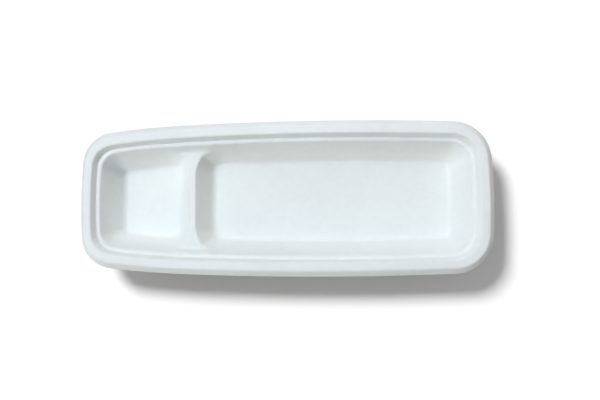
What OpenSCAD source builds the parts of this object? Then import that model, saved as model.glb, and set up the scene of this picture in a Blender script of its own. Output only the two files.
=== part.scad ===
// Long food tray with two compartments, pressed from pulp as one thin sheet.
// The sheet is worked out as one height over the table for each place on the tray:
// rings of points follow the outline from the lip down to the floor, and a grid of
// points fills the floor and climbs over the divider. The underside is the same sheet,
// one thickness below, square to the surface.

/* [Overall] */
// Length over the lip
tray_len = 240; // [200:1:280]
// Greatest width over the lip
tray_w = 91; // [84:0.5:110]
// Height of the rim's crown above the resting face
tray_h = 25.5; // [21:0.5:34]
// Thickness of the pulp sheet
sheet_t = 0.8; // [0.5:0.05:0.9]

/* [Outline] */
// Distance from the middle to the widest place, towards the wide end
widest_x = 29; // [0:1:45]
// Radius of the long sides
side_r = 1950; // [1200:50:4000]
// Distance from the middle to where the long sides turn in towards the narrow end
shoulder_x = 62; // [45:1:80]
// Radius of the long sides where they turn in
shoulder_r = 480; // [350:10:800]
// Radius of the narrow end
narrow_end_r = 300; // [150:10:600]
// Radius of the wide end
wide_end_r = 340; // [150:10:600]
// Radius of the lip's corners at the narrow end
narrow_corner_r = 19; // [16:0.5:24]
// Radius of the lip's corners at the wide end
wide_corner_r = 23; // [16:0.5:28]
// Radius of the corners of the floor
floor_corner_r = 2; // [1:0.5:4]

/* [Rim] */
// How far the outer lip hangs below the crown
lip_drop = 3.8; // [2:0.1:5]
// Slope of the outer lip, from upright
lip_draft = 40; // [25:1:45]
// Distance from the lip's edge to the end of the crown
crown_in = 8; // [7.5:0.1:10]
// How much narrower the crown is at the narrow end
narrow_less = 1.6; // [0:0.1:2]
// Drop from the crown to the ledge that a lid sits on
step_h = 4.8; // [4:0.1:6.5]
// Slope of the step, from upright
step_draft = 21.5; // [12:0.5:28]
// Width of the ledge
ledge_w = 2.1; // [1.8:0.1:4]
// Radius of the bend from the lip to the crown
lip_bend_r = 2.2; // [1.2:0.1:3]
// Radius of the bend from the crown to the step
crown_bend_r = 1.3; // [0.95:0.05:1.5]
// Radius of the bend from the step to the ledge
step_bend_r = 0.6; // [0.3:0.05:0.8]
// Radius of the bend from the ledge to a compartment wall
ledge_bend_r = 1.4; // [0.95:0.05:1.5]

/* [Compartments] */
// Slope of the compartment walls, from upright
wall_draft = 25.3; // [18:0.1:30]
// Radius of the bend from a wall to the floor
floor_bend_r = 3.4; // [1:0.1:5]
// Distance from the middle of the tray to the divider, towards the narrow end
divider_x = 55.5; // [30:0.5:66]
// Height of the divider above the floor
divider_h = 14.5; // [8:0.1:16]
// Width of the divider's crest between its corners
crest_w = 2.8; // [2.3:0.1:5]
// Slope of the divider's faces, from upright
divider_draft = 30.8; // [28:0.1:38]
// Radius of the crest's edges
crest_bend_r = 1.1; // [1:0.05:1.4]
// Radius of the compartments' corners at the divider, seen from above, at the floor
corner_r_low = 7; // [3:0.5:10]
// Radius of the same corners at the height of the crest
corner_r_high = 15; // [8:0.5:18]
// How much less steep the tray's side is above the divider's ends, as a share of its height
neck_slope = 0.03; // [0:0.01:0.2]
// Distance from the divider's middle line at which that side stands in by half a millimetre
neck_span = 10; // [8:0.5:14]
// Radius of the bend from the crest to that side
neck_bend_r = 2; // [1:0.1:4]

/* [Mesh] */
// Steps round each corner of the outline
corner_steps = 8; // [6:2:8]
// Steps along each long side past the divider, towards the wide end
side_steps = 9; // [7:1:9]

/* [Hidden] */

floor_z = sheet_t;
ledge_z = tray_h - step_h;
depth = ledge_z - floor_z;

// Insets, from the lip's edge to each corner of the section
lip_in = lip_drop * tan(lip_draft);
ledge_out = crown_in + step_h * tan(step_draft);
ledge_in = ledge_out + ledge_w;
floor_in = ledge_in + depth * tan(wall_draft);
crest_in = floor_in - divider_h * tan(wall_draft);

// Distance from the corner of a bend to its start, on the level side and on the sloping side
function level_reach(draft, r) = r * tan((90 - draft) / 2);
function slope_reach(draft, r) = level_reach(draft, r) * sin(draft);
crown_end = crown_in - level_reach(step_draft, crown_bend_r);
last_in = floor_in + level_reach(wall_draft, floor_bend_r);

// Half the divider's width at its foot, where the bends of its feet start and end, and a place
// beyond them and beyond the compartments' corners
divider_foot = crest_w / 2 + divider_h * tan(divider_draft);
foot_share = tan(divider_draft) / tan(wall_draft);
foot_start = divider_foot - slope_reach(wall_draft, floor_bend_r) * foot_share;
foot_end = divider_foot + level_reach(wall_draft, floor_bend_r) * foot_share;
open_out = max(crest_w / 2 + corner_r_high, foot_end + 2);

// Centres of the arcs that make up the outline, for the far half of the tray
side_c = [widest_x, tray_w / 2 - side_r];
shoulder_p = [-shoulder_x, side_c.y + sqrt(side_r ^ 2 - (shoulder_x + widest_x) ^ 2)];
shoulder_c = shoulder_p + (side_c - shoulder_p) * shoulder_r / side_r;
narrow_c = [narrow_end_r - tray_len / 2, 0];
wide_c = [tray_len / 2 - wide_end_r, 0];

// Insets of the points on a bend, evenly turned. The level face lies before it, which way 1
// says, or after it, which way -1 says
function bend_marks(at, draft, r, way, count) =
    [for (i = [0 : count])
        let (turned = way == 1 ? i : count - i)
        at + way * (r * sin((90 - draft) * turned / count) - level_reach(draft, r))];

// Insets of the rings of points, closer together where the section bends
ledge_marks = bend_marks(ledge_in, wall_draft, ledge_bend_r, 1, 3);
floor_marks = bend_marks(floor_in, wall_draft, floor_bend_r, -1, 3);
ring_insets = concat(
    [0],
    bend_marks(lip_in, lip_draft, lip_bend_r, -1, 3),
    bend_marks(crown_in, step_draft, crown_bend_r, 1, 3),
    bend_marks(ledge_out, step_draft, step_bend_r, -1, 1),
    ledge_marks,
    [for (share = [0.25, 0.5, 0.75]) mix(ledge_marks[3], floor_marks[0], share)],
    floor_marks
);
last_ring = len(ring_insets) - 1;

// Where the points across the ends lie, as shares of the end's half width
end_marks = [-1, -0.82, -0.64, -0.4, 0, 0.4, 0.64, 0.82, 1];
end_steps = len(end_marks) - 1;

// Where the points across the divider lie, from its middle line outwards
crest_start = crest_w / 2 - level_reach(divider_draft, crest_bend_r);
divider_marks = [
    0,
    crest_start,
    crest_start + crest_bend_r * sin((90 - divider_draft) / 2),
    crest_start + crest_bend_r * sin(90 - divider_draft),
    (crest_w / 2 + foot_start) / 2,
    foot_start,
    (foot_start + foot_end) / 2,
    foot_end,
    (foot_end + open_out) / 2,
    open_out
];
top_mark = len(divider_marks) - 1;
narrow_steps = 4;
across_steps = narrow_steps + 2 * top_mark + side_steps;

function mix(a, b, share) = a + (b - a) * share;
function unit(v) = v / norm(v);
function angle(v) = atan2(v.y, v.x);
function on_circle(centre, r, a) = centre + r * [cos(a), sin(a)];

// Height lost past a rounded corner, where a level face turns down at a draft
function bend(past, draft, r) =
    let (
        start = level_reach(draft, r),
        inside = min(max(past + start, 0), r * cos(draft))
    )
    past > start * sin(draft) ? -past / tan(draft) : sqrt(r ^ 2 - inside ^ 2) - r;

// Height lost down a sloping face between two levels, rounded at its top and its foot
function fall(past, drop, draft, top_r, foot_r) =
    let (run = drop * tan(draft))
    past < run / 2 ? bend(past, draft, top_r) : -drop - bend(run - past, draft, foot_r);

// Height of a valley rounded to a radius in plan, between a side wall and a divider's face
function valley(wall, face, r) =
    let (
        wall_run = tan(wall_draft),
        face_run = tan(divider_draft),
        square = wall_run ^ 2 + face_run ^ 2,
        mid = r * (wall_run + face_run) + wall * wall_run ^ 2 + face * face_run ^ 2,
        rest = (r + wall * wall_run) ^ 2 + (r + face * face_run) ^ 2 - r ^ 2
    )
    (wall - face) * face_run > r ? wall
    : (face - wall) * wall_run > r ? face
    : (mid - sqrt(max(mid ^ 2 - square * rest, 0))) / square;

// Height above the floor of the faces that close the compartments, at a distance out from the
// divider's middle line, where the side wall's plane has the height side. Each compartment is
// a pocket of its own with round corners, and a shallow neck over the crest joins the two
function basin(out, side) =
    let (
        face = divider_h + (crest_w / 2 - abs(out)) / tan(divider_draft),
        rise = min(max(max(side, face) / divider_h, 0), 1),
        pocket = valley(side, face, mix(corner_r_low, corner_r_high, rise)),
        neck_side = side + neck_slope * (depth - side) + (out / neck_span) ^ 2,
        neck = divider_h - bend((neck_side - divider_h) * tan(wall_draft), wall_draft, neck_bend_r)
    )
    neck + bend((neck - pocket) * tan(divider_draft), divider_draft, crest_bend_r);

// Height of the sheet's upper face at a place p that lies an inset from the lip's edge
function height(p, inset) =
    let (
        lip = bend(lip_in - inset, lip_draft, lip_bend_r),
        step = fall(inset - crown_in, step_h, step_draft, crown_bend_r, step_bend_r),
        closing = basin(p.x + divider_x, (floor_in - inset) / tan(wall_draft)),
        wall = fall((depth - closing) * tan(wall_draft), depth, wall_draft, ledge_bend_r, floor_bend_r)
    )
    tray_h + lip + step + wall;

// Centre of the circle of radius r that touches two larger circles from inside
function nest(a, a_r, b, b_r, r, turn) =
    let (
        gap = norm(b - a),
        way = (b - a) / gap,
        along = ((a_r - r) ^ 2 - (b_r - r) ^ 2 + gap ^ 2) / (2 * gap),
        off = sqrt((a_r - r) ^ 2 - along ^ 2)
    )
    a + along * way + turn * off * [-way.y, way.x];

// Corner radius at an inset
function corner_r(outer_r, inset) = mix(outer_r, floor_corner_r, inset / last_in);

// Inset at the narrow end, where the crown is narrower
function narrow_inset(inset) = inset - narrow_less * min(inset / crown_end, 1);

// y of the long side at x, for an inset
function side_y(x, inset) =
    let (turn_x = shoulder_c.x + (shoulder_p.x - shoulder_c.x) * (1 - inset / shoulder_r))
    x > turn_x
        ? side_c.y + sqrt((side_r - inset) ^ 2 - (x - side_c.x) ^ 2)
        : shoulder_c.y + sqrt((shoulder_r - inset) ^ 2 - (x - shoulder_c.x) ^ 2);

// Points of the far half of the outline at an inset, from the middle of the wide end's
// corner to the middle of the narrow end's corner
function side_points(inset, wide_k, narrow_k) =
    let (
        wide_x = side_c.x + (wide_k - side_c).x * (side_r - inset) / norm(wide_k - side_c),
        narrow_x = shoulder_c.x
            + (narrow_k - shoulder_c).x * (shoulder_r - inset) / norm(narrow_k - shoulder_c),
        wide_stop = open_out - divider_x,
        narrow_stop = -open_out - divider_x,
        xs = concat(
            [for (i = [0 : side_steps - 1]) mix(wide_x, wide_stop, i / side_steps)],
            [for (i = [top_mark : -1 : 1]) divider_marks[i] - divider_x],
            [for (i = [0 : top_mark - 1]) -divider_marks[i] - divider_x],
            [for (i = [0 : narrow_steps]) mix(narrow_stop, narrow_x, i / narrow_steps)]
        )
    )
    [for (x = xs) [x, side_y(x, inset)]];

// Arc of points round a corner, its two end points left out
function corner_points(centre, r, from, to) =
    [for (i = [1 : corner_steps - 1]) on_circle(centre, r, mix(from, to, i / corner_steps))];

// Points across an end, from -y to +y, as seen along the arc of that end
function end_points(centre, r, top_y, way) =
    [for (m = end_marks) [centre.x + way * sqrt(r ^ 2 - (m * top_y) ^ 2), m * top_y]];

function backward(points) = [for (i = [len(points) - 1 : -1 : 0]) points[i]];
function mirrored(points) = [for (p = points) [p.x, -p.y]];

// Closed loop of points at an inset, anticlockwise, from the middle of the near wide corner
function loop(inset) =
    let (
        narrow_in = narrow_inset(inset),
        wide_r = corner_r(wide_corner_r, inset),
        narrow_r = corner_r(narrow_corner_r, inset),
        wide_k = nest(side_c, side_r - inset, wide_c, wide_end_r - inset, wide_r, -1),
        narrow_k = nest(shoulder_c, shoulder_r - inset, narrow_c, narrow_end_r - narrow_in, narrow_r, 1),
        wide_from = angle(wide_k - wide_c),
        wide_to = angle(wide_k - side_c),
        narrow_from = angle(narrow_k - shoulder_c),
        narrow_to = angle(narrow_k - narrow_c),
        wide_top = on_circle(wide_k, wide_r, wide_from).y,
        narrow_top = on_circle(narrow_k, narrow_r, narrow_to).y,
        far_half = concat(
            corner_points(wide_k, wide_r, wide_from, wide_to),
            side_points(inset, wide_k, narrow_k),
            corner_points(narrow_k, narrow_r, narrow_from, narrow_to)
        ),
        whole = concat(
            end_points(wide_c, wide_end_r - inset, wide_top, 1),
            far_half,
            backward(end_points(narrow_c, narrow_end_r - narrow_in, narrow_top, -1)),
            backward(mirrored(far_half))
        ),
        start = len(whole) - corner_steps / 2
    )
    [for (i = [0 : len(whole) - 1]) whole[(start + i) % len(whole)]];

// Direction into the tray at each point of a loop
function inward(points) =
    let (n = len(points))
    [for (i = [0 : n - 1]) let (t = unit(points[(i + 1) % n] - points[(i + n - 1) % n])) [-t.y, t.x]];

// Upper and lower point of the sheet at a place, one thickness apart and square to it
function sheet_pair(p, inset, into) =
    let (
        e = 0.05,
        rise_x = height(p + [e, 0], inset + e * into.x) - height(p - [e, 0], inset - e * into.x),
        rise_y = height(p + [0, e], inset + e * into.y) - height(p - [0, e], inset - e * into.y),
        top = [p.x, p.y, height(p, inset)]
    )
    [top, top - sheet_t * unit([-rise_x, -rise_y, 2 * e])];

// How far a line of points at a distance out from the divider's middle line swings outwards, so
// that the lines follow the crest's edges round the compartments' corners. They stop short of
// the corners' last sixth, which runs along the tray's side
function swing(out, inset) =
    let (
        away = min(max(inset - crest_in, corner_r_high / 6), corner_r_high),
        edge = corner_r_high - sqrt(corner_r_high ^ 2 - (corner_r_high - away) ^ 2),
        half = crest_w / 2,
        share = min(abs(out) / half, max(open_out - abs(out), 0) / (open_out - half))
    )
    sign(out) * edge * share;

// Ring of points at an inset, with the lines at the divider swung out along the ring
function ring(inset) =
    [for (p = loop(inset))
        let (shift = swing(p.x + divider_x, inset), x = p.x + shift)
        shift == 0 ? p : [x, sign(p.y) * side_y(x, inset)]];

function ring_pairs(inset) =
    let (points = ring(inset), into = inward(points))
    [for (i = [0 : len(points) - 1]) sheet_pair(points[i], inset, into[i])];

// The floor's grid fits inside the last ring, between its four sides
floor_loop = loop(ring_insets[last_ring]);
ring_size = len(floor_loop);
across = across_steps + corner_steps;
deep = end_steps + corner_steps;

// Number of the last ring's point at the edge of the grid, column a and row b
function edge_number(a, b) =
    a == across ? b
    : b == deep ? deep + across - a
    : a == 0 ? 2 * deep + across - b
    : (2 * deep + across + a) % ring_size;
function edge_point(a, b) = floor_loop[edge_number(a, b)];

// Place inside the grid, drawn evenly between the four edges
function grid_point(a, b) =
    let (
        u = a / across,
        v = b / deep,
        near_side = mix(edge_point(0, 0), edge_point(across, 0), u),
        far_side = mix(edge_point(0, deep), edge_point(across, deep), u)
    )
    mix(edge_point(a, 0), edge_point(a, deep), v)
    + mix(edge_point(0, b), edge_point(across, b), u)
    - mix(near_side, far_side, v);

function floor_pair(p) =
    let (
        x = p.x + swing(p.x + divider_x, side_y(p.x, 0) - abs(p.y)),
        inset = side_y(x, 0) - abs(p.y)
    )
    sheet_pair([x, p.y], inset, [0, p.y > 0 ? -1 : 1]);

// Every pair of points: the rings from the lip inwards, then the inside of the grid
pairs = concat(
    [for (inset = ring_insets) each ring_pairs(inset)],
    [for (b = [1 : deep - 1]) for (a = [1 : across - 1]) floor_pair(grid_point(a, b))]
);
inner_start = (last_ring + 1) * ring_size;

function grid_number(a, b) =
    a == 0 || a == across || b == 0 || b == deep
        ? last_ring * ring_size + edge_number(a, b)
        : inner_start + (b - 1) * (across - 1) + a - 1;

// Four-cornered patches of the upper face, anticlockwise from above
patches = concat(
    [for (i = [0 : last_ring - 1]) for (j = [0 : ring_size - 1])
        let (k = (j + 1) % ring_size)
        [i * ring_size + j, i * ring_size + k, (i + 1) * ring_size + k, (i + 1) * ring_size + j]],
    [for (b = [0 : deep - 1]) for (a = [0 : across - 1])
        [grid_number(a, b), grid_number(a + 1, b), grid_number(a + 1, b + 1), grid_number(a, b + 1)]]
);

// Splits a patch along its shorter diagonal
function split(patch, points) =
    norm(points[patch[0]] - points[patch[2]]) < norm(points[patch[1]] - points[patch[3]])
        ? [[patch[0], patch[1], patch[2]], [patch[0], patch[2], patch[3]]]
        : [[patch[0], patch[1], patch[3]], [patch[1], patch[2], patch[3]]];

module tray() {
    upper = [for (pair = pairs) pair[0]];
    lower = [for (pair = pairs) pair[1]];
    count = len(pairs);
    skin = [for (patch = patches) each split(patch, upper)];
    upper_faces = [for (f = skin) [f[2], f[1], f[0]]];
    lower_faces = [for (f = skin) [f[0] + count, f[1] + count, f[2] + count]];
    lip_faces = [for (j = [0 : ring_size - 1])
        let (k = (j + 1) % ring_size)
        each [[j, k, k + count], [j, k + count, j + count]]];
    color("white")
        polyhedron(points = concat(upper, lower), faces = concat(upper_faces, lower_faces, lip_faces));
}

tray();
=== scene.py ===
# Long food tray pressed from white pulp: one thin sheet with a rounded rim, a ledge, two
# compartments and a low divider. The sheet is worked out as one height over the table, on
# rings of points from the lip down to the floor and on a grid of points inside them.
import math

import bpy
import numpy as np
from mathutils import Matrix, Vector


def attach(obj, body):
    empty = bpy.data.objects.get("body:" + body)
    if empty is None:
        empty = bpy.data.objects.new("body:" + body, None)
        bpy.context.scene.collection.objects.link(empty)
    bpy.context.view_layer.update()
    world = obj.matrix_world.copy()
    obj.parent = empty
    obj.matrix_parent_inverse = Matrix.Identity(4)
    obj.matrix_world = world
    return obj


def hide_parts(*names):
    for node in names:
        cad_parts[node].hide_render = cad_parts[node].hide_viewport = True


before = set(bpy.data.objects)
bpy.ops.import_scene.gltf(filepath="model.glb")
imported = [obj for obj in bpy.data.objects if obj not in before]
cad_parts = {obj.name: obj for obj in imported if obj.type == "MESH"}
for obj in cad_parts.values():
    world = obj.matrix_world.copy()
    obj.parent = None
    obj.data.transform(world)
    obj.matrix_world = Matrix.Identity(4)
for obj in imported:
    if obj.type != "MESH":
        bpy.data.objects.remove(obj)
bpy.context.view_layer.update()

MM = 0.001

# Overall sizes of the tray, in millimetres
TRAY_LEN = 240.0
TRAY_W = 91.0
TRAY_H = 25.5
SHEET_T = 0.8

# Outline: radii and places of its arcs
WIDEST_X = 29.0
SIDE_R = 1950.0
SHOULDER_X = 62.0
SHOULDER_R = 480.0
NARROW_END_R = 300.0
WIDE_END_R = 340.0
NARROW_CORNER_R = 19.0
WIDE_CORNER_R = 23.0
FLOOR_CORNER_R = 2.0

# Rim: lip, crown, step and ledge
LIP_DROP = 3.8
LIP_DRAFT = 40.0
CROWN_IN = 8.0
NARROW_LESS = 1.6
STEP_H = 4.8
STEP_DRAFT = 21.5
LEDGE_W = 2.1
LIP_BEND_R = 2.2
CROWN_BEND_R = 1.3
STEP_BEND_R = 0.6
LEDGE_BEND_R = 1.4

# Compartments and divider
WALL_DRAFT = 25.3
FLOOR_BEND_R = 3.4
DIVIDER_X = 55.5
DIVIDER_H = 14.5
CREST_W = 2.8
DIVIDER_DRAFT = 30.8
CREST_BEND_R = 1.1
CORNER_R_LOW = 7.0
CORNER_R_HIGH = 15.0
NECK_SLOPE = 0.03
NECK_SPAN = 10.0
NECK_BEND_R = 2.0

# Mesh: steps and zones along the outline
END_STEPS = 14
CORNER_STEPS = 22
STRAIGHT_STEP = 2.6
DIVIDER_STEP = 0.7
DIVIDER_ZONE = 16.0
CREST_STEP = 0.3
CREST_ZONE = 3.2

# Mesh: steps across each face and round each bend of the section
LIP_STEPS = 4
CROWN_STEPS = 4
STEP_STEPS = 2
LEDGE_STEPS = 2
WALL_STEPS = 10
BEND_STEPS = 8
STEP_BEND_STEPS = 6
FLOOR_BEND_STEPS = 10

# Mesh: rounded cut edge of the lip, and how folds of the underside are found and undone
EDGE_STEPS = 5
EDGE_IN = 0.06
EDGE_BULGE = 0.6
FOLD_AGREE = 0.3
FOLD_ROUNDS = 60

# Pulp: sizes of its patterns, as scales per metre, and their forms
CLOUD_SCALE = 28.0
CLOUD_DETAIL = 3.0
MOTTLE_SCALE = 260.0
MOTTLE_DETAIL = 5.0
MOTTLE_ROUGH = 0.6
GRAIN_SCALE = 1400.0
GRAIN_DETAIL = 3.0
GRAIN_ROUGH = 0.65
NOISE_LOW = 0.3
NOISE_HIGH = 0.7
FIBRE_SCALE = 420.0
FIBRE_DETAIL = 3.0
FIBRE_STRETCH = 0.16
FIBRE_BEND = 0.6
FIBRE_FROM = 0.60
FIBRE_FULL = 0.72
FIBRE_WAYS = (20, 75, 140)
SCREEN_SCALE = 260.0
SCREEN_WAVER = 0.4

# Pulp: how strongly the patterns show in its tone, its roughness and its relief
CLOUD_TONE = 0.25
MOTTLE_TONE = 0.2
FIBRE_TONE = 0.2
TONE_REACH = 0.5
PULP_DARK = (0.83, 0.845, 0.83, 1)
PULP_LIGHT = (0.90, 0.915, 0.90, 1)
SMOOTHEST = 0.78
ROUGHEST = 0.94
PULP_SHINE = 0.25
GRAIN_RELIEF = 0.5
FIBRE_RELIEF = 0.4
MOTTLE_RELIEF = 0.8
SCREEN_RELIEF = 0.3
BUMP_STRENGTH = 0.5
BUMP_DEPTH = 0.00012

# Table and world, in metres
TABLE_HALF = 3.0
TABLE_TONE = 0.9
TABLE_BOUNCE = 0.55
TABLE_ROUGH = 0.9
WORLD_LIGHT = 0.02

# Colours of the lamps
WHITE = (1.0, 1.0, 1.0)
PALE = (0.95, 1.0, 1.08)
COOL = (0.77, 0.97, 1.09)
WARM = (1.2, 1.0, 0.72)

# Camera: lens in millimetres, place in metres, turns in degrees
LENS = 42.085
SENSOR_W = 36.0
CAMERA_AT = (0.017614, -0.036269, 0.426973)
TURN_Z = -0.519
TURN_X = 4.943
TURN_Y = 1.411

# Node editor: spacing of the nodes
NODE_W = 220
NODE_H = 320
NODES_ACROSS = 8


def tan(degrees):
    return math.tan(math.radians(degrees))


FLOOR_Z = SHEET_T
LEDGE_Z = TRAY_H - STEP_H
DEPTH = LEDGE_Z - FLOOR_Z

LIP_IN = LIP_DROP * tan(LIP_DRAFT)
LEDGE_OUT = CROWN_IN + STEP_H * tan(STEP_DRAFT)
LEDGE_IN = LEDGE_OUT + LEDGE_W
FLOOR_IN = LEDGE_IN + DEPTH * tan(WALL_DRAFT)


def reach(draft, r):
    """Distance from the corner of a bend to its start on the level side."""
    return r * tan((90 - draft) / 2)


LAST_IN = FLOOR_IN + reach(WALL_DRAFT, FLOOR_BEND_R)
CROWN_END = CROWN_IN - reach(STEP_DRAFT, CROWN_BEND_R)

SIDE_C = np.array([WIDEST_X, TRAY_W / 2 - SIDE_R])
SHOULDER_RISE = math.sqrt(SIDE_R ** 2 - (SHOULDER_X + WIDEST_X) ** 2)
SHOULDER_P = np.array([-SHOULDER_X, SIDE_C[1] + SHOULDER_RISE])
SHOULDER_C = SHOULDER_P + (SIDE_C - SHOULDER_P) * SHOULDER_R / SIDE_R
NARROW_C = np.array([NARROW_END_R - TRAY_LEN / 2, 0.0])
WIDE_C = np.array([TRAY_LEN / 2 - WIDE_END_R, 0.0])


def mix(a, b, share):
    """Value a share of the way from a to b."""
    return a + (b - a) * share


def bend(past, draft, r):
    """Height lost past a rounded corner, where a level face turns down at a draft."""
    turn = math.radians(90 - draft)
    start = r * math.tan(turn / 2)
    inside = np.clip(past + start, 0, r * math.sin(turn))
    rounded = np.sqrt(r ** 2 - inside ** 2) - r
    return np.where(past > start * math.cos(turn), -past * math.tan(turn), rounded)


def fall(past, drop, draft, top_r, foot_r):
    """Height lost down a sloping face between two levels, rounded at its top and its foot."""
    run = drop * tan(draft)
    top, foot = bend(past, draft, top_r), -drop - bend(run - past, draft, foot_r)
    return np.where(past < run / 2, top, foot)


def valley(wall, face, r):
    """Height of a valley rounded to a radius in plan, between a side wall and a divider's face."""
    wall_run, face_run = tan(WALL_DRAFT), tan(DIVIDER_DRAFT)
    square = wall_run ** 2 + face_run ** 2
    mid = r * (wall_run + face_run) + wall * wall_run ** 2 + face * face_run ** 2
    rest = (r + wall * wall_run) ** 2 + (r + face * face_run) ** 2 - r ** 2
    inside = (mid - np.sqrt(np.maximum(mid ** 2 - square * rest, 0))) / square
    open_wall, open_face = (wall - face) * face_run > r, (face - wall) * wall_run > r
    return np.where(open_wall, wall, np.where(open_face, face, inside))


def basin(out, side):
    """Height above the floor of the faces that close the compartments, before floor and ledge."""
    face = DIVIDER_H + (CREST_W / 2 - np.abs(out)) / tan(DIVIDER_DRAFT)
    rise = np.clip(np.maximum(side, face) / DIVIDER_H, 0, 1)
    pocket = valley(side, face, mix(CORNER_R_LOW, CORNER_R_HIGH, rise))
    neck_side = side + NECK_SLOPE * (DEPTH - side) + (out / NECK_SPAN) ** 2
    neck = DIVIDER_H - bend((neck_side - DIVIDER_H) * tan(WALL_DRAFT), WALL_DRAFT, NECK_BEND_R)
    return neck + bend((neck - pocket) * tan(DIVIDER_DRAFT), DIVIDER_DRAFT, CREST_BEND_R)


def height(x, inset):
    """Height of the sheet's upper face at x, an inset in from the lip's edge."""
    lip = bend(LIP_IN - inset, LIP_DRAFT, LIP_BEND_R)
    step = fall(inset - CROWN_IN, STEP_H, STEP_DRAFT, CROWN_BEND_R, STEP_BEND_R)
    closing = basin(x + DIVIDER_X, (FLOOR_IN - inset) / tan(WALL_DRAFT))
    wall = fall((DEPTH - closing) * tan(WALL_DRAFT), DEPTH, WALL_DRAFT, LEDGE_BEND_R, FLOOR_BEND_R)
    return TRAY_H + lip + step + wall


def nest(a, a_r, b, b_r, r, turn):
    """Centre of the circle of radius r that touches two larger circles from inside."""
    gap = np.linalg.norm(b - a)
    way = (b - a) / gap
    along = ((a_r - r) ** 2 - (b_r - r) ** 2 + gap ** 2) / (2 * gap)
    off = math.sqrt((a_r - r) ** 2 - along ** 2)
    return a + along * way + turn * off * np.array([-way[1], way[0]])


def bearing(centre, point):
    """Angle at which a point lies, seen from a centre."""
    return math.atan2(point[1] - centre[1], point[0] - centre[0])


def arc(centre, r, start, stop, count):
    """Points on an arc, both ends kept."""
    a = np.linspace(start, stop, count + 1)
    return np.stack([centre[0] + r * np.cos(a), centre[1] + r * np.sin(a)], axis=1)


def side_y(x, inset):
    """y of the long side at x."""
    turn_x = SHOULDER_C[0] + (SHOULDER_P[0] - SHOULDER_C[0]) * (1 - inset / SHOULDER_R)
    wide = SIDE_C[1] + np.sqrt((SIDE_R - inset) ** 2 - (x - SIDE_C[0]) ** 2)
    narrow = SHOULDER_C[1] + np.sqrt((SHOULDER_R - inset) ** 2 - (x - SHOULDER_C[0]) ** 2)
    return np.where(x > turn_x, wide, narrow)


def spaced(start, stop, step):
    """Evenly spaced values from start to stop, the last one left out."""
    count = max(1, math.ceil(abs(stop - start) / step))
    return np.linspace(start, stop, count + 1)[:-1]


def side_marks(wide_x, narrow_x):
    """x of the points along a long side, closer together at the divider and at its crest."""
    wide_stop, narrow_stop = DIVIDER_ZONE - DIVIDER_X, -DIVIDER_ZONE - DIVIDER_X
    wide_crest, narrow_crest = CREST_ZONE - DIVIDER_X, -CREST_ZONE - DIVIDER_X
    wide_count = math.ceil((TRAY_LEN / 2 - wide_stop) / STRAIGHT_STEP)
    narrow_count = math.ceil((narrow_stop + TRAY_LEN / 2) / STRAIGHT_STEP)
    return np.concatenate([
        np.linspace(wide_x, wide_stop, wide_count + 1)[:-1],
        spaced(wide_stop, wide_crest, DIVIDER_STEP),
        spaced(wide_crest, narrow_crest, CREST_STEP),
        spaced(narrow_crest, narrow_stop, DIVIDER_STEP),
        np.linspace(narrow_stop, narrow_x, narrow_count + 1),
    ])


def loop(inset):
    """Closed ring of points at an inset, anticlockwise, and how many go along its far side."""
    narrow_in = inset - NARROW_LESS * min(inset / CROWN_END, 1)
    wide_r = mix(WIDE_CORNER_R, FLOOR_CORNER_R, inset / LAST_IN)
    narrow_r = mix(NARROW_CORNER_R, FLOOR_CORNER_R, inset / LAST_IN)
    wide_k = nest(SIDE_C, SIDE_R - inset, WIDE_C, WIDE_END_R - inset, wide_r, -1)
    narrow_k = nest(
        SHOULDER_C, SHOULDER_R - inset, NARROW_C, NARROW_END_R - narrow_in, narrow_r, 1
    )
    wide_from, wide_to = bearing(WIDE_C, wide_k), bearing(SIDE_C, wide_k)
    narrow_from, narrow_to = bearing(SHOULDER_C, narrow_k), bearing(NARROW_C, narrow_k)
    wide_x = SIDE_C[0] + (SIDE_R - inset) * math.cos(wide_to)
    narrow_x = SHOULDER_C[0] + (SHOULDER_R - inset) * math.cos(narrow_from)
    xs = side_marks(wide_x, narrow_x)
    far = np.concatenate([
        arc(WIDE_C, WIDE_END_R - inset, 0, wide_from, END_STEPS)[:-1],
        arc(wide_k, wide_r, wide_from, wide_to, CORNER_STEPS)[:-1],
        np.stack([xs, side_y(xs, inset)], axis=1)[:-1],
        arc(narrow_k, narrow_r, narrow_from, narrow_to, CORNER_STEPS)[:-1],
        arc(NARROW_C, NARROW_END_R - narrow_in, narrow_to, math.pi, END_STEPS),
    ])
    near = far[-2:0:-1] * [1, -1]
    return np.concatenate([far, near]), len(xs) - 1


def bend_marks(at, draft, r, way, count):
    """Insets round a bend, evenly turned. The level face lies before it (way 1) or after (-1)."""
    turn = math.radians(90 - draft)
    start = reach(draft, r)
    marks = [at + way * (r * math.sin(turn * i / count) - start) for i in range(count + 1)]
    return marks[::way]


def ring_insets():
    """Insets of the rings of points, closer together where the section bends."""
    section = [
        (LIP_STEPS, bend_marks(LIP_IN, LIP_DRAFT, LIP_BEND_R, -1, BEND_STEPS)),
        (CROWN_STEPS, bend_marks(CROWN_IN, STEP_DRAFT, CROWN_BEND_R, 1, BEND_STEPS)),
        (STEP_STEPS, bend_marks(LEDGE_OUT, STEP_DRAFT, STEP_BEND_R, -1, STEP_BEND_STEPS)),
        (LEDGE_STEPS, bend_marks(LEDGE_IN, WALL_DRAFT, LEDGE_BEND_R, 1, BEND_STEPS)),
        (WALL_STEPS, bend_marks(FLOOR_IN, WALL_DRAFT, FLOOR_BEND_R, -1, FLOOR_BEND_STEPS)),
    ]
    insets = [EDGE_IN]
    for steps, marks in section:
        insets += list(np.linspace(insets[-1], marks[0], steps + 1)[1:]) + marks[1:]
    return insets


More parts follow.
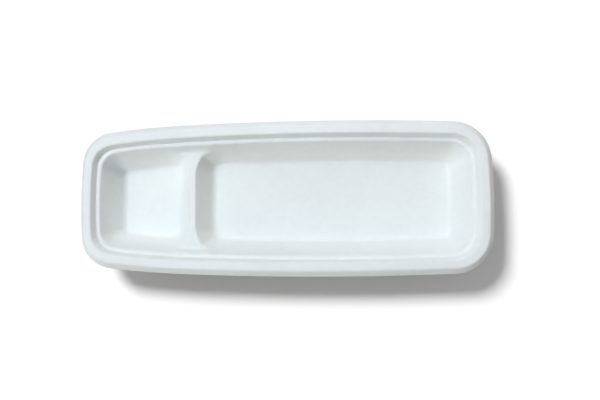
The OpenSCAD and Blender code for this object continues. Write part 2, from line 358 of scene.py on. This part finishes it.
def floor_grid(ring, side_count):
    """Inside of the last ring as a grid: numbers of its points (-1 inside) and their places."""
    size = len(ring)
    half_corner = CORNER_STEPS // 2
    across = side_count + CORNER_STEPS
    deep = 2 * END_STEPS + CORNER_STEPS
    start = END_STEPS + half_corner
    far = [(start + i) % size for i in range(across + 1)]
    left = [(start + across + i) % size for i in range(deep + 1)]
    near = [(start + across + deep + i) % size for i in range(across + 1)]
    right = [(start + 2 * across + deep + i) % size for i in range(deep + 1)]
    number = np.full((deep + 1, across + 1), -1)
    number[deep, :] = far[::-1]
    number[:, 0] = left[::-1]
    number[0, :] = near
    number[:, across] = right
    u = np.linspace(0, 1, across + 1)[None, :, None]
    v = np.linspace(0, 1, deep + 1)[:, None, None]
    low, high = ring[number[0, :]][None], ring[number[deep, :]][None]
    west, east = ring[number[:, 0]][:, None], ring[number[:, across]][:, None]
    corners = mix(mix(low[:, :1], low[:, -1:], u), mix(high[:, :1], high[:, -1:], u), v)
    return number, mix(low, high, v) + mix(west, east, u) - corners


def sheet():
    """Places of the upper face's points and its four-cornered patches, and the ring size."""
    places, patches = [], []
    insets = ring_insets()
    for i, inset in enumerate(insets):
        ring, side_count = loop(inset)
        n = len(ring)
        z = height(ring[:, 0], inset)
        places.append(np.column_stack([ring, z]))
        if i:
            inside = np.arange(n) + i * n
            outside = inside - n
            corners = [outside, np.roll(outside, -1), np.roll(inside, -1), inside]
            patches.append(np.stack(corners, axis=1))
    number, grid = floor_grid(ring, side_count)
    base = (len(insets) - 1) * n
    number = np.where(number >= 0, number + base, -1)
    inner = number < 0
    number[inner] = len(insets) * n + np.arange(inner.sum())
    x, y = grid[inner][:, 0], grid[inner][:, 1]
    inset = side_y(x, 0) - np.abs(y)
    places.append(np.column_stack([x, y, height(x, inset)]))
    corners = [number[:-1, :-1], number[:-1, 1:], number[1:, 1:], number[1:, :-1]]
    patches.append(np.stack(corners, axis=-1).reshape(-1, 4))
    return np.concatenate(places), np.concatenate(patches), n


def facing(points, patches):
    """Direction that each patch faces, as long as twice its area."""
    a, b, c, d = (points[patches[:, i]] for i in range(4))
    return np.cross(c - a, d - b)


def gather(values, patches, count):
    """Sum of the values of the patches round each point."""
    out = np.zeros((count, values.shape[1]))
    for i in range(4):
        np.add.at(out, patches[:, i], values)
    return out


def normals(points, patches):
    """Normal of the surface at each point."""
    out = gather(facing(points, patches), patches, len(points))
    return out / np.linalg.norm(out, axis=1, keepdims=True)


def underside(upper, normal, patches):
    """Points of the lower face. Where two bends meet, folded points are drawn together."""
    lower = upper - SHEET_T * normal
    above = facing(upper, patches)
    above_size = np.linalg.norm(above, axis=1)
    shares = gather(np.ones((len(patches), 1)), patches, len(upper))
    for _ in range(FOLD_ROUNDS):
        below = facing(lower, patches)
        least = FOLD_AGREE * above_size * np.linalg.norm(below, axis=1)
        folded = (above * below).sum(axis=1) < least
        if not folded.any():
            break
        moved = np.unique(patches[folded])
        middles = lower[patches].mean(axis=1)
        lower[moved] = (gather(middles, patches, len(upper)) / shares)[moved]
    return lower


def cut_edge(outer, under, lift):
    """Rings of points that round the lip's cut edge, between its upper and its lower face."""
    along = np.roll(outer, -1, axis=0) - np.roll(outer, 1, axis=0)
    out = np.cross(along, lift)
    out /= np.linalg.norm(out, axis=1, keepdims=True)
    rings = []
    for i in range(1, EDGE_STEPS):
        turn = math.pi * i / EDGE_STEPS
        bulge = math.cos(turn) * lift + EDGE_BULGE * math.sin(turn) * out
        rings.append((outer + under) / 2 + SHEET_T / 2 * bulge)
    return rings


def tray_mesh():
    """Closed mesh of the sheet, with its lower face marked for the material."""
    upper, patches, n = sheet()
    normal = normals(upper, patches)
    lower = underside(upper, normal, patches)
    count = len(upper)
    rings = cut_edge(upper[:n], lower[:n], normal[:n])
    places = [upper, lower] + rings
    faces = [patches, patches[:, ::-1] + count]
    starts = [0] + [2 * count + i * n for i in range(len(rings))] + [count]
    rows = [np.arange(n) + start for start in starts]
    for above, below in zip(rows, rows[1:]):
        corners = [above, below, np.roll(below, -1), np.roll(above, -1)]
        faces.append(np.stack(corners, axis=1))
    mesh = bpy.data.meshes.new("pulp_tray")
    mesh.from_pydata((np.concatenate(places) * MM).tolist(), [], np.concatenate(faces).tolist())
    mesh.validate()
    mesh.polygons.foreach_set("use_smooth", [True] * len(mesh.polygons))
    side = mesh.attributes.new("underside", "FLOAT", "POINT")
    share = np.zeros(len(mesh.vertices))
    share[count:2 * count] = 1
    side.data.foreach_set("value", share)
    mesh.update()
    return mesh


class Net:
    """Node tree of a material or the world, with short ways to add and join nodes."""

    def __init__(self, owner):
        owner.use_nodes = True
        self.tree = owner.node_tree
        self.nodes = self.tree.nodes

    def node(self, kind, settings=None, **inputs):
        """New node. An input may be a value or another node's output."""
        new = self.nodes.new("ShaderNode" + kind)
        row, column = divmod(len(self.nodes), NODES_ACROSS)
        new.location = (NODE_W * column, -NODE_H * row)
        for name, value in (settings or {}).items():
            setattr(new, name, value)
        for name, value in inputs.items():
            self.feed(new, name.replace("_", " "), value)
        return new

    def feed(self, node, name, value):
        """Sets an input, found by its name or its number, or joins an output to it."""
        socket = node.inputs[int(name)] if name.isdigit() else node.inputs[name]
        if isinstance(value, bpy.types.NodeSocket):
            self.tree.links.new(value, socket)
        else:
            socket.default_value = value

    def noise(self, place, scale, detail, **inputs):
        """Soft noise from 0 to 1."""
        found = self.node("TexNoise", Vector=place, Scale=scale, Detail=detail, **inputs)
        return found.outputs[0]

    def span(self, value, low, high, to_low, to_high):
        """Value spread from one range to another, kept inside it."""
        ramp = self.node(
            "MapRange", Value=value, From_Min=low, From_Max=high, To_Min=to_low, To_Max=to_high
        )
        return ramp.outputs["Result"]

    def maths(self, operation, a, b):
        """Result of an operation on two values or outputs."""
        new = self.node("Math", {"operation": operation})
        self.feed(new, "0", a)
        self.feed(new, "1", b)
        return new.outputs[0]

    def looked_at(self):
        """1 where the camera looks, straight or by way of metal or glass, and 0 elsewhere."""
        path = self.node("LightPath").outputs
        through = self.maths("MAXIMUM", path["Is Glossy Ray"], path["Is Transmission Ray"])
        return self.maths("MAXIMUM", path["Is Camera Ray"], through)


def fibres(net, place, way):
    """Short hair-thin marks that all lie one way, from 0 for none to 1."""
    turned = net.node(
        "VectorRotate", {"rotation_type": "Z_AXIS"}, Vector=place, Angle=math.radians(way)
    )
    drawn = net.node("Mapping", Vector=turned.outputs[0], Scale=(FIBRE_STRETCH, 1, 1))
    lines = net.noise(drawn.outputs[0], FIBRE_SCALE, FIBRE_DETAIL, Distortion=FIBRE_BEND)
    return net.span(lines, FIBRE_FROM, FIBRE_FULL, 0, 1)


def felt_marks(net, place):
    """Felt of fibres that lie several ways."""
    marks = [fibres(net, place, way) for way in FIBRE_WAYS]
    felt = marks[0]
    for more in marks[1:]:
        felt = net.maths("MAXIMUM", felt, more)
    return felt


def screen_print(net, place, under):
    """Print of the forming screen's wires, on the face that lay on it."""
    wires = 0.0
    for way in ("X", "Y", "Z"):
        wave = net.node(
            "TexWave", {"bands_direction": way},
            Vector=place, Scale=SCREEN_SCALE, Distortion=SCREEN_WAVER,
        )
        wires = net.maths("ADD", wave.outputs["Fac"], wires)
    return net.maths("MULTIPLY", wires, under)


def weighed(net, parts):
    """Sum of patterns, each times its weight."""
    total = 0.0
    for pattern, weight in parts:
        total = net.maths("ADD", net.maths("MULTIPLY", pattern, weight), total)
    return total


def pulp_material():
    """White pressed pulp: matte, with faint clouds of tone and a felt of fine fibres."""
    mat = bpy.data.materials.new("pressed_pulp")
    net = Net(mat)
    place = net.node("TexCoord").outputs["Object"]
    under = net.node("Attribute", {"attribute_name": "underside"}).outputs["Fac"]

    clouds = net.noise(place, CLOUD_SCALE, CLOUD_DETAIL)
    mottle = net.noise(place, MOTTLE_SCALE, MOTTLE_DETAIL, Roughness=MOTTLE_ROUGH)
    grain = net.noise(place, GRAIN_SCALE, GRAIN_DETAIL, Roughness=GRAIN_ROUGH)
    felt = felt_marks(net, place)
    screen = screen_print(net, place, under)

    tone = weighed(net, [
        (net.span(clouds, NOISE_LOW, NOISE_HIGH, -1, 1), CLOUD_TONE),
        (net.span(mottle, NOISE_LOW, NOISE_HIGH, -1, 1), MOTTLE_TONE),
        (felt, -FIBRE_TONE),
    ])
    colour = net.node("ValToRGB", Fac=net.span(tone, -TONE_REACH, TONE_REACH, 0, 1))
    colour.color_ramp.elements[0].color = PULP_DARK
    colour.color_ramp.elements[1].color = PULP_LIGHT

    relief = weighed(net, [
        (grain, GRAIN_RELIEF),
        (felt, FIBRE_RELIEF),
        (mottle, MOTTLE_RELIEF),
        (screen, SCREEN_RELIEF),
    ])
    bump = net.node("Bump", Height=relief, Strength=BUMP_STRENGTH, Distance=BUMP_DEPTH)

    shader = net.nodes["Principled BSDF"]
    net.feed(shader, "Base Color", colour.outputs["Color"])
    net.feed(shader, "Roughness", net.span(mottle, NOISE_LOW, NOISE_HIGH, SMOOTHEST, ROUGHEST))
    net.feed(shader, "Specular IOR Level", PULP_SHINE)
    net.feed(shader, "Normal", bump.outputs["Normal"])
    return mat


def tray():
    """The pulp tray, which stands for the CAD part's only node."""
    piece = bpy.data.objects.new("pulp_tray", tray_mesh())
    bpy.context.scene.collection.objects.link(piece)
    piece.data.materials.append(pulp_material())
    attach(piece, "root")
    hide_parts("tray")
    return piece


def table():
    """Plain white table under the tray."""
    around = ((-1, -1), (1, -1), (1, 1), (-1, 1))
    corners = [(TABLE_HALF * x, TABLE_HALF * y, 0) for x, y in around]
    mesh = bpy.data.meshes.new("table")
    mesh.from_pydata(corners, [], [(0, 1, 2, 3)])
    piece = bpy.data.objects.new("table", mesh)
    bpy.context.scene.collection.objects.link(piece)
    mat = bpy.data.materials.new("table_white")
    net = Net(mat)
    shader = net.nodes["Principled BSDF"]
    tone = net.span(net.looked_at(), 0, 1, TABLE_BOUNCE, TABLE_TONE)
    net.feed(shader, "Base Color", tone)
    net.feed(shader, "Roughness", TABLE_ROUGH)
    mesh.materials.append(mat)
    return piece


def lamp(name, kind, lit, colour, **settings):
    """Lamp that lights one object alone, though every object shades it."""
    data = bpy.data.lights.new(name, kind)
    data.color = colour
    for setting, value in settings.items():
        setattr(data, setting, value)
    item = bpy.data.objects.new(name, data)
    bpy.context.scene.collection.objects.link(item)
    only = bpy.data.collections.new("lit_by_" + name)
    only.objects.link(lit)
    item.light_linking.receiver_collection = only
    return item


def ball(name, lit, place, size, power, colour=WHITE):
    """Round lamp at a place, giving the same light on the tray from any distance."""
    energy = power * sum(c ** 2 for c in place)
    item = lamp(name, "POINT", lit, colour, shadow_soft_size=size, energy=energy)
    item.location = place


def sun(name, lit, toward, spread, power):
    """Even light that falls in one direction, softened by a spread in degrees."""
    item = lamp(name, "SUN", lit, WHITE, angle=math.radians(spread), energy=power)
    item.rotation_euler = Vector(toward).to_track_quat("-Z", "Y").to_euler()


def light(piece, under):
    """Soft studio light: lamps for the tray, suns that draw its shadow, and a white world."""
    world = bpy.data.worlds.new("studio")
    bpy.context.scene.world = world
    net = Net(world)
    back = net.nodes["Background"]
    net.feed(back, "Color", (1, 1, 1, 1))
    net.feed(back, "Strength", net.maths("MAXIMUM", net.looked_at(), WORLD_LIGHT))
    ball("key", piece, place=(-0.40, 0.27, 1.20), size=0.20, power=17.2, colour=PALE)
    ball("near_left", piece, place=(-0.60, -0.30, 0.90), size=0.17, power=10.6, colour=COOL)
    ball("far_right", piece, place=(0.87, 1.50, 1.00), size=0.6, power=10.4)
    ball("near", piece, place=(-0.87, -1.50, 1.00), size=0.6, power=6.3, colour=WARM)
    ball("low_far", piece, place=(0.08, 0.20, 0.25), size=0.05, power=4.3)
    sun("table_key", under, toward=(0.68, -0.70, -1.0), spread=18, power=3.5)
    sun("table_fill", under, toward=(0, 0, -1), spread=150, power=1.1)


def camera():
    """Camera above the tray, turned a little, as the photograph has it."""
    data = bpy.data.cameras.new("camera")
    data.lens = LENS
    data.sensor_width = SENSOR_W
    cam = bpy.data.objects.new("camera", data)
    bpy.context.scene.collection.objects.link(cam)
    turn = (
        Matrix.Rotation(math.radians(TURN_Z), 4, "Z")
        @ Matrix.Rotation(math.radians(TURN_X), 4, "X")
        @ Matrix.Rotation(math.radians(TURN_Y), 4, "Y")
    )
    cam.matrix_world = Matrix.Translation(CAMERA_AT) @ turn
    bpy.context.scene.camera = cam


bpy.context.scene.view_settings.view_transform = "Standard"
camera()
light(tray(), table())
